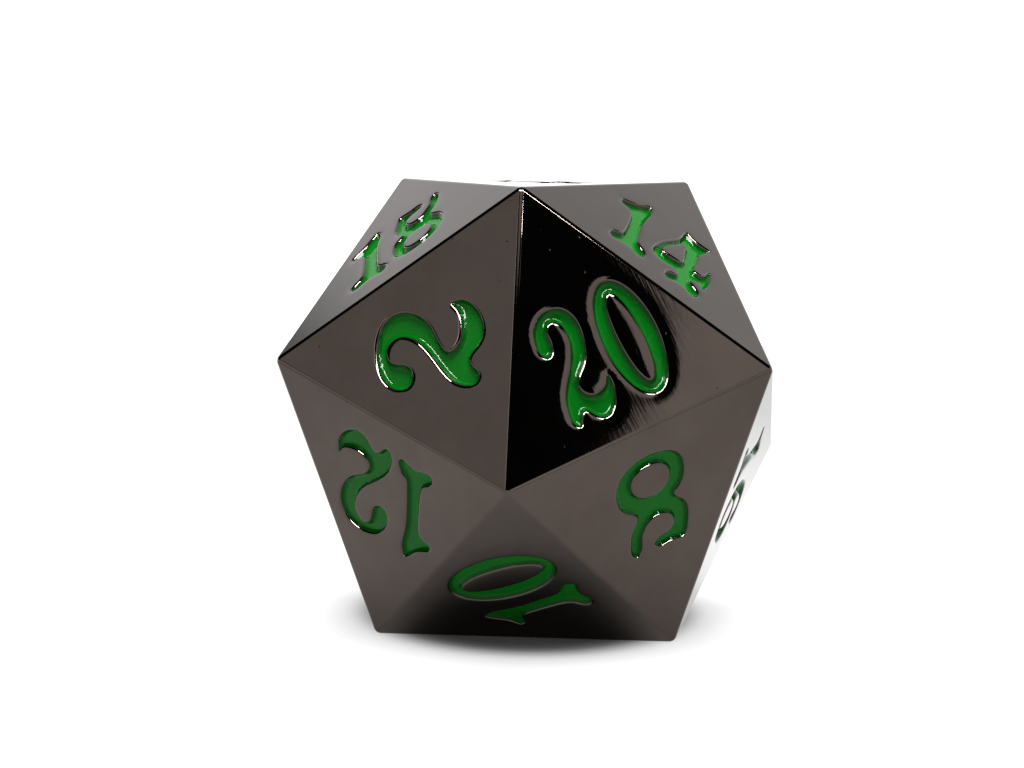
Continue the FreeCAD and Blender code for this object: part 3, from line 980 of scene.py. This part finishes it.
def plate_finish(material):
    material.use_nodes = True
    tree = material.node_tree
    shader = tree.nodes["Principled BSDF"]
    lay = add(tree, "ShaderNodeUVMap", uv_map="lay").outputs[0]
    place = add(tree, "ShaderNodeTexCoord").outputs["Object"]

    def streaks(across, along):
        stretched = add(tree, "ShaderNodeMapping", {"Vector": lay, "Scale": (across, along, 1)})
        return noise(tree, stretched.outputs[0], 1.0, 3.0, 0.6)

    cloud = noise(tree, place, 420.0, 4.0, 0.65)
    tone = ramp(tree, cloud, [(0.3, PLATE_DARK), (0.5, PLATE_COLOUR), (0.72, PLATE_PALE)])
    tree.links.new(tone, shader.inputs["Base Color"])
    dull = ramp(tree, cloud, [(0.35, grey(0.020)), (0.75, grey(0.035))])
    tree.links.new(dull, shader.inputs["Roughness"])
    pit = ramp(tree, near_points(tree, place, 1100.0), [(0.02, grey(0.0)), (0.07, grey(1.0))])
    normal = bumps(tree, [
        (noise(tree, place, 260.0, 1.0), SWELL), (streaks(3.0, 0.25), BROAD_LINES),
        (streaks(11.0, 0.45), FINE_LINES), (pit, PITS)])
    tree.links.new(normal, shader.inputs["Normal"])
    shader.inputs["Metallic"].default_value = 1.0


plate_finish(nickel)

# %% [markdown]
# ## Green enamel
# The enamel is a glossy tinted resin. Its base colour is painted darker on the thin banks and
# brighter on the thick bottom, following the attribute that the tree left: in part the dark plate
# showing through thin enamel, in part painted shade for the banks, which mirror and catch less
# light. The skin is smooth enough for sharp highlights, broken by a few bubbles.

# %% The enamel
# The green at the shore, part way in and at the full sink; the darker greens are partly plate
# under thin enamel and partly painted shade on the banks.
ENAMEL_THIN_AND_SHADED = (0.0006, 0.026, 0.002, 1.0)
ENAMEL_HALF = (0.0008, 0.050, 0.0025, 1.0)
ENAMEL_FULL = (0.001, 0.078, 0.004, 1.0)
UNEVEN, GRAIN, BUBBLES = 0.5, 1.0e-7, 3.0e-6


def enamel_finish(material):
    material.use_nodes = True
    tree = material.node_tree
    shader = tree.nodes["Principled BSDF"]
    place = add(tree, "ShaderNodeTexCoord").outputs["Object"]
    cloud = noise(tree, place, 700.0, 3.0, 0.6)
    # Painted shade: the green is darker toward the shore, partly for thin enamel and partly for
    # the banks' dimmer light.
    fill = add(tree, "ShaderNodeAttribute", attribute_name="fill").outputs["Fac"]
    uneven = number_of(tree, "MULTIPLY", number_of(tree, "SUBTRACT", cloud, 0.5), UNEVEN)
    tone = ramp(tree, number_of(tree, "ADD", fill, uneven),
                [(0.0, ENAMEL_THIN_AND_SHADED), (0.75, ENAMEL_HALF), (0.97, ENAMEL_FULL)])
    tree.links.new(tone, shader.inputs["Base Color"])
    dull = ramp(tree, cloud, [(0.3, grey(0.035)), (0.8, grey(0.07))])
    tree.links.new(dull, shader.inputs["Roughness"])
    bubble = ramp(tree, near_points(tree, place, 1700.0), [(0.02, grey(1.0)), (0.06, grey(0.0))])
    normal = bumps(tree, [(noise(tree, place, 6000.0, 2.0), GRAIN), (bubble, BUBBLES)])
    tree.links.new(normal, shader.inputs["Normal"])
    shader.inputs["IOR"].default_value = 1.52
    shader.inputs["Specular IOR Level"].default_value = 0.065


enamel_finish(green)
print("finishes:", [m.name for m in bpy.data.materials])

# %% [markdown]
# ## Camera
# A long lens from low down, so the die's edges stay nearly parallel. The camera looks a little
# past the middle of the die and is turned by a fraction of a degree.

# %% Camera
CAMERA_TURN, CAMERA_RISE, CAMERA_ROLL = radians(5.43), radians(5.815), radians(0.633)
AIM_RIGHT, AIM_UP, EYE_AWAY = -0.077, 0.066, 9.218      # in edge lengths of the die
FOCAL_LENGTH, SENSOR_WIDTH = 94.855, 36.0
back = Vector((sin(CAMERA_TURN) * cos(CAMERA_RISE), -cos(CAMERA_TURN) * cos(CAMERA_RISE),
               sin(CAMERA_RISE)))
right = Vector((cos(CAMERA_TURN), sin(CAMERA_TURN), 0))
up = back.cross(right)
aim = Vector(MIDDLE) + EDGE * (AIM_RIGHT * right + AIM_UP * up)
eye = aim + back * EYE_AWAY * EDGE
turned_right = right * cos(CAMERA_ROLL) + up * sin(CAMERA_ROLL)
turned_up = up * cos(CAMERA_ROLL) - right * sin(CAMERA_ROLL)
lens = bpy.data.cameras.new("camera")
lens.lens, lens.sensor_width = FOCAL_LENGTH, SENSOR_WIDTH
lens.clip_start, lens.clip_end = 0.005, 20.0
camera = bpy.data.objects.new("camera", lens)
scene.collection.objects.link(camera)
camera.matrix_world = Matrix.Translation(eye * MM) @ Matrix(
    (turned_right, turned_up, back)).transposed().to_4x4()
scene.camera = camera
print("camera at %.4f %.4f %.4f m" % tuple(camera.location))

# %% [markdown]
# ## The studio
# A mirror shows its surroundings, so the studio is part of the look. The die lies on a white
# floor in a small tent of white cloth, lit from above through a soft box. The tent is open
# toward the camera, which leaves a black opening, and its cloth walls end some way up. Above
# the opening hangs a wide bright panel. Each flat of the die mirrors one patch of all this.
# The room is drawn as patches of a sky, each given by its compass directions and its heights in
# degrees, and each painted over the ones before it.
#
# The floor is white paper on a light table. It glows evenly, except around the resting face, where
# its glow is darkened by a painted shade in an oval under the die's overhang, and far out, where
# the glow is painted down to about two thirds.

# %% Floor and softbox
def plain_material(name, colour, roughness=0.6):
    made = bpy.data.materials.new(name)
    made.use_nodes = True
    shader = made.node_tree.nodes["Principled BSDF"]
    shader.inputs["Base Color"].default_value = (*colour, 1.0)
    shader.inputs["Roughness"].default_value = roughness
    shader.inputs["Specular IOR Level"].default_value = 0.0
    return made


def staged(name, places, faces, material):
    mesh = bpy.data.meshes.new(name)
    mesh.from_pydata(places, [], faces)
    mesh.materials.append(material)
    made = bpy.data.objects.new(name, mesh)
    scene.collection.objects.link(made)
    return made


def glowing_paper(name, paleness, middle, reach, brightness, stops):
    """Paper on a light table, its glow darkened by a painted shade where the die rests, brighter
    with the distance from there and dimmer again far out.
    """
    made = plain_material(name, (paleness,) * 3)
    tree = made.node_tree
    place = add(tree, "ShaderNodeTexCoord").outputs["Object"]
    place = add(tree, "ShaderNodeVectorRotate", {"Vector": place, "Angle": -CAMERA_TURN},
                rotation_type="Z_AXIS").outputs[0]
    place = vector_of(tree, "SUBTRACT", place, (middle[0] * MM, middle[1] * MM, 0.0))
    place = vector_of(tree, "DIVIDE", place, (reach[0] * MM, reach[1] * MM, 1.0))
    away = add(tree, "ShaderNodeVectorMath", {0: place}, operation="LENGTH").outputs["Value"]
    glow = ramp(tree, number_of(tree, "DIVIDE", away, stops[-1][0]),
                [(far / stops[-1][0], grey(level)) for far, level in stops])
    shader = tree.nodes["Principled BSDF"]
    tree.links.new(glow, shader.inputs["Emission Color"])
    shader.inputs["Emission Strength"].default_value = brightness
    return made


FLOOR_RADIUS, FLOOR_SIDES = 0.15, 96
PAPER_PALENESS, PAPER_GLOW = 0.07, 1.15
# The floor's glow carries a painted shade: dark in an oval under the die, full a little way out,
# and down to two thirds far out.
SHADE_MIDDLE, SHADE_REACH = (-0.2, 3.0), (7.4, 10.3)    # the shade is oval, in millimetres
SHADE = [                   # how far out, in reaches, and how much of the glow is left there
    (0.0, 0.015), (0.80, 0.02), (0.87, 0.04), (0.93, 0.10), (1.00, 0.29), (1.04, 0.42),
    (1.09, 0.57), (1.14, 0.67), (1.24, 0.77), (1.40, 0.86), (1.7, 0.95), (2.2, 1.0), (3.0, 1.0),
    (6.0, 0.66)]
turns = [2 * pi * k / FLOOR_SIDES for k in range(FLOOR_SIDES)]
floor = staged(
    "floor", [(FLOOR_RADIUS * cos(t), FLOOR_RADIUS * sin(t), 0.0) for t in turns],
    [list(range(FLOOR_SIDES))],
    glowing_paper("floor_white_with_painted_shade", PAPER_PALENESS, SHADE_MIDDLE, SHADE_REACH, PAPER_GLOW, SHADE))

KEY_SIZE, KEY_RADIANCE, KEY_PLACE = 0.30, 41.0, (0.0, 0.01, 0.54)
key = bpy.data.lights.new("softbox", "AREA")
key.shape, key.size = "SQUARE", KEY_SIZE
key.energy = KEY_RADIANCE * pi * KEY_SIZE ** 2
softbox = bpy.data.objects.new("softbox", key)
softbox.location = KEY_PLACE
softbox.visible_glossy = False
scene.collection.objects.link(softbox)

# %% The room, patch by patch
# From and to which direction (0 is toward the camera, 90 to its right), from and to which
# height, how bright, and how soft the patch's border is. All but the brightness in degrees.
# The opening's right border bows out above BOW_FROM, as the edge of hanging cloth does.
OPEN_FROM, OPEN_TO, OPEN_TOP, HORIZON = -45.5, 46.05, 38.0, 9.0
ROOM = [
    ("right cloth", 40, 147, -90, 36.0, 1.57, 1.0),
    ("low on the right", 50, 110, -90, 20.0, 0.70, 6.0),
    ("above the right cloth", 48.5, 146, 34.5, 62, 0.014, 0.8),
    ("gap at the back left", -145.0, -122, 18, 62, 0.014, 2.0),
    ("gap's lower end", -148.6, -122, 0, 20.8, 0.014, 4.5),
    ("dark on the left", -140, -40, 0, 62, 0.014, 1.0),
    ("strip of cloth on the left", -60.5, -44, -90, 32.5, 1.06, 0.8),
    ("low in that strip", -64, -44, -90, 18.0, 0.60, 6.0),
    ("bright seam of the strip", -49.0, -46.5, 24, 37.0, 7.0, 0.6),
    ("high above", -180, 180, 60, 95, 0.35, 6.0),
    ("bright gap beside the right cloth", 46.5, 50.2, 36.9, 41, 100.0, 0.4),
]
BACK_LEVEL, LOW_LEVEL, OPEN_LEVEL = 1.10, 1.75, 0.014
BOW_FROM, BOW_RUN, BOW_BEND, BOW_MOST = 32.2, 0.9, 0.28, 1.85


def room_light():
    world = bpy.data.worlds.new("room")
    scene.world = world
    world.use_nodes = True
    tree = world.node_tree
    way = add(tree, "ShaderNodeTexCoord").outputs["Generated"]
    x, y, z = add(tree, "ShaderNodeSeparateXYZ", {0: way}).outputs
    turn = number_of(tree, "ARCTAN2", x, number_of(tree, "MULTIPLY", y, -1.0))
    turn = number_of(tree, "DEGREES", turn)
    rise = number_of(tree, "DEGREES", number_of(tree, "ARCSINE", z))

    def past(value, border, soft):
        return add(tree, "ShaderNodeMapRange", {
            "Value": value, "From Min": border - soft / 2, "From Max": border + soft / 2},
            interpolation_type="SMOOTHSTEP").outputs[0]

    def between(value, low, high, soft):
        return number_of(tree, "SUBTRACT", past(value, low, soft), past(value, high, soft))

    def paint(level, mask, colour):
        step = number_of(tree, "SUBTRACT", colour, level)
        return number_of(tree, "MULTIPLY_ADD", mask, step, level)

    level = BACK_LEVEL
    for _, left, right, low, high, bright, soft in ROOM:
        mask = number_of(tree, "MULTIPLY", between(turn, left, right, soft),
                         between(rise, low, high, soft))
        level = paint(level, mask, bright)
    bow = number_of(tree, "MINIMUM", number_of(tree, "SUBTRACT", rise, BOW_FROM), BOW_RUN)
    bow = number_of(tree, "MULTIPLY", number_of(tree, "MULTIPLY", bow, bow), BOW_BEND)
    bowed = number_of(tree, "ADD", turn, number_of(tree, "MINIMUM", bow, BOW_MOST))
    mask = number_of(tree, "MULTIPLY", number_of(
        tree, "SUBTRACT", past(turn, OPEN_FROM, 0.5), past(bowed, OPEN_TO, 0.3)),
        between(rise, -90, OPEN_TOP, 1.0))
    level = paint(level, mask, OPEN_LEVEL)
    low = number_of(tree, "SUBTRACT", 1.0, past(rise, HORIZON, 2.0))
    level = paint(level, low, LOW_LEVEL)
    tree.nodes["Background"].inputs["Color"].default_value = grey(1.0)
    tree.links.new(level, tree.nodes["Background"].inputs["Strength"])


room_light()
scene.view_settings.view_transform = "Standard"

# %% [markdown]
# The bright panel above the opening is only there to be mirrored, in the lips and the enamel. It
# is a piece of a large dome, and it gives no light to the floor or the paint, which the softbox
# and the cloth already light. Its lower border rises in the middle, to keep it out of the
# rounded edge between the 2 and the 20.

# %% The panel above the opening
PANEL_FROM, PANEL_TO, PANEL_HIGH = -50, 45.5, 58
PANEL_LOW = ((-50, 43.0), (-20, 46.0), (10, 50.0), (32, 48.0), (45.5, 40.8))
PANEL_AWAY, PANEL_RADIANCE = 2.5, 120.0
PANEL_ACROSS, PANEL_UPWARD = 48, 24


def dome_panel():
    places = []
    for j in range(PANEL_UPWARD + 1):
        for i in range(PANEL_ACROSS + 1):
            turn = PANEL_FROM + (PANEL_TO - PANEL_FROM) * i / PANEL_ACROSS
            low = float(np.interp(turn, *zip(*PANEL_LOW)))
            rise, turn = radians(low + (PANEL_HIGH - low) * j / PANEL_UPWARD), radians(turn)
            level_away = PANEL_AWAY * cos(rise)
            places.append((level_away * sin(turn), -level_away * cos(turn),
                           PANEL_AWAY * sin(rise)))
    wide = PANEL_ACROSS + 1
    faces = [(j * wide + i, j * wide + i + 1, (j + 1) * wide + i + 1, (j + 1) * wide + i)
             for j in range(PANEL_UPWARD) for i in range(PANEL_ACROSS)]
    glow = plain_material("panel_white", (0, 0, 0))
    shader = glow.node_tree.nodes["Principled BSDF"]
    shader.inputs["Emission Color"].default_value = (1, 1, 1, 1)
    shader.inputs["Emission Strength"].default_value = PANEL_RADIANCE
    return staged("bright_panel", places, faces, glow)


panel = dome_panel()
panel.visible_diffuse = panel.visible_shadow = panel.visible_camera = False
print("panel up to %d degrees" % PANEL_HIGH)

# %% [markdown]
# ## Handing over
# Every piece rides on the die's one body, and the part of the frame that it stands for is hidden.

# %% Bodies and replaced parts
for piece, slot, nodes in [(body, "black_nickel", ["die_body"])] + [
        (enamel[n], "green_enamel", ["numeral_%d" % n]) for n in sorted(enamel)]:
    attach(piece, "root")
    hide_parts(*nodes)
bpy.context.view_layer.update()
